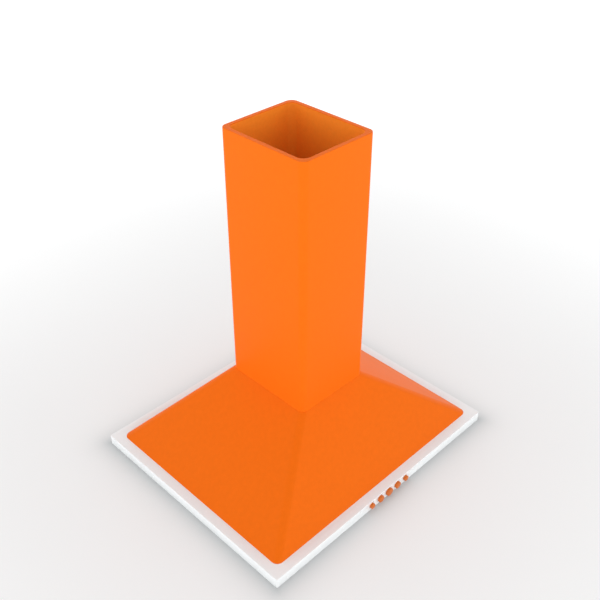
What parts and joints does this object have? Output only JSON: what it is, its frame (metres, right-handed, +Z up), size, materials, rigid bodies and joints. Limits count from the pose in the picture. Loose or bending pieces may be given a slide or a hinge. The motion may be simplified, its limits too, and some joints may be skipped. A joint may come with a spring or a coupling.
{
  "type": "chimney cooker hood",
  "caption": "Pyramid chimney cooker hood on a flat rim, with a double-walled rectangular chimney, push buttons, blower, damper flaps and drop-down grease filters.",
  "frame": {"origin": "centre of the rim's underside, on the surface that the hood stands on", "axes": "+Z up along the chimney, -Y towards the push buttons, +X to the right seen from the buttons"},
  "size_m": [0.6, 0.506, 0.687],
  "materials": {
    "white_rim": "white moulded plastic, smooth",
    "tray_enamel": "light grey enamel, satin",
    "orange_paint": "orange powder coat, satin gloss",
    "orange_liner": "orange powder coat, satin",
    "orange_cap": "orange moulded plastic",
    "zinc_steel": "zinc coated sheet",
    "grey_moulding": "grey moulded plastic",
    "fan_moulding": "black moulded plastic",
    "white_moulding": "white moulded plastic",
    "black_moulding": "black moulded plastic",
    "circuit_board": "green board",
    "cable_sheath": "black cable sheath",
    "capacitor_can": "drawn can, satin",
    "motor_enamel": "black enamel",
    "bearing_bronze": "sintered bronze",
    "stator_iron": "laminated iron",
    "shaft_steel": "ground steel",
    "screw_steel": "zinc plated",
    "spring_steel": "spring wire",
    "black_rubber": "moulded rubber",
    "lamp_chrome": "turned rim, satin",
    "frosted_lens": "frosted disc",
    "filter_rail": "extruded rail, satin",
    "filter_mesh": "expanded mesh",
    "magnet_nickel": "nickel plated"
  },
  "bodies": {
    "hood": {"rim_frame": "white_rim", "bottom_tray": "tray_enamel", "tray_screws": "screw_steel", "canopy": "orange_paint", "rim_screws": "screw_steel", "chimney_cover": "orange_paint", "chimney_liner": "orange_liner", "blower_plate": "zinc_steel", "top_bracket": "zinc_steel", "frame_screws": "screw_steel", "blower_screws": "screw_steel", "outlet_adapter": "grey_moulding", "damper_pins": "screw_steel", "motor_bracket": "zinc_steel", "motor_mounts": "black_rubber", "motor_screws": "screw_steel", "motor_can": "motor_enamel", "motor_end_cap": "motor_enamel", "motor_bushes": "bearing_bronze", "stator": "stator_iron", "button_guide": "white_moulding", "guide_screws": "screw_steel", "switch_bank": "black_moulding", "control_board": "circuit_board", "control_lead": "cable_sheath", "terminal_box": "black_moulding", "terminal_lid": "black_moulding", "cable_gland": "black_moulding", "capacitor": "capacitor_can", "upright_front_left": "zinc_steel", "upright_front_right": "zinc_steel", "upright_rear_left": "zinc_steel", "upright_rear_right": "zinc_steel", "blower_half_left": "grey_moulding", "blower_half_right": "grey_moulding", "lamp_housing_left": "lamp_chrome", "lamp_housing_right": "lamp_chrome", "lamp_lens_left": "frosted_lens", "lamp_lens_right": "frosted_lens", "button_spring_1": "spring_steel", "button_spring_2": "spring_steel", "button_spring_3": "spring_steel", "button_spring_4": "spring_steel", "button_spring_5": "spring_steel"},
    "fan": {"impeller": "fan_moulding", "rotor": "stator_iron", "motor_shaft": "shaft_steel"},
    "flap_left": {"damper_flap_left": "fan_moulding"},
    "flap_right": {"damper_flap_right": "fan_moulding"},
    "filter_left": {"filter_frame_left": "filter_rail", "filter_mesh_left": "filter_mesh", "filter_magnets_left": "magnet_nickel"},
    "filter_right": {"filter_frame_right": "filter_rail", "filter_mesh_right": "filter_mesh", "filter_magnets_right": "magnet_nickel"},
    "push_button_1": {"button_1": "orange_cap"},
    "push_button_2": {"button_2": "orange_cap"},
    "push_button_3": {"button_3": "orange_cap"},
    "push_button_4": {"button_4": "orange_cap"},
    "push_button_5": {"button_5": "orange_cap"}
  },
  "joints": [
    {"name": "fan_spin", "type": "hinge", "parent": "hood", "child": "fan", "pos_m": [0, 0, 0.098], "axis": [1, 0, 0], "continuous": true},
    {"name": "flap_left_swing", "type": "hinge", "parent": "hood", "child": "flap_left", "pos_m": [-0.004, 0, 0.28], "axis": [0, 1, 0], "range_deg": [0, 80]},
    {"name": "flap_right_swing", "type": "hinge", "parent": "hood", "child": "flap_right", "pos_m": [0.004, 0, 0.28], "axis": [0, -1, 0], "range_deg": [0, 80]},
    {"name": "filter_left_drop", "type": "hinge", "parent": "hood", "child": "filter_left", "pos_m": [-0.1245, 0.1386, 0.0053], "axis": [1, 0, 0], "range_deg": [0, 90]},
    {"name": "filter_right_drop", "type": "hinge", "parent": "hood", "child": "filter_right", "pos_m": [0.1245, 0.1386, 0.0053], "axis": [1, 0, 0], "range_deg": [0, 90]},
    {"name": "button_1_press", "type": "slide", "parent": "hood", "child": "push_button_1", "axis": [0, 1, 0], "range_m": [0, 0.003], "stiffness_N_per_m": 300, "springref_m": -0.002, "deforming": ["button_spring_1"]},
    {"name": "button_2_press", "type": "slide", "parent": "hood", "child": "push_button_2", "axis": [0, 1, 0], "range_m": [0, 0.003], "stiffness_N_per_m": 300, "springref_m": -0.002, "deforming": ["button_spring_2"]},
    {"name": "button_3_press", "type": "slide", "parent": "hood", "child": "push_button_3", "axis": [0, 1, 0], "range_m": [0, 0.003], "stiffness_N_per_m": 300, "springref_m": -0.002, "deforming": ["button_spring_3"]},
    {"name": "button_4_press", "type": "slide", "parent": "hood", "child": "push_button_4", "axis": [0, 1, 0], "range_m": [0, 0.003], "stiffness_N_per_m": 300, "springref_m": -0.002, "deforming": ["button_spring_4"]},
    {"name": "button_5_press", "type": "slide", "parent": "hood", "child": "push_button_5", "axis": [0, 1, 0], "range_m": [0, 0.003], "stiffness_N_per_m": 300, "springref_m": -0.002, "deforming": ["button_spring_5"]}
  ]
}
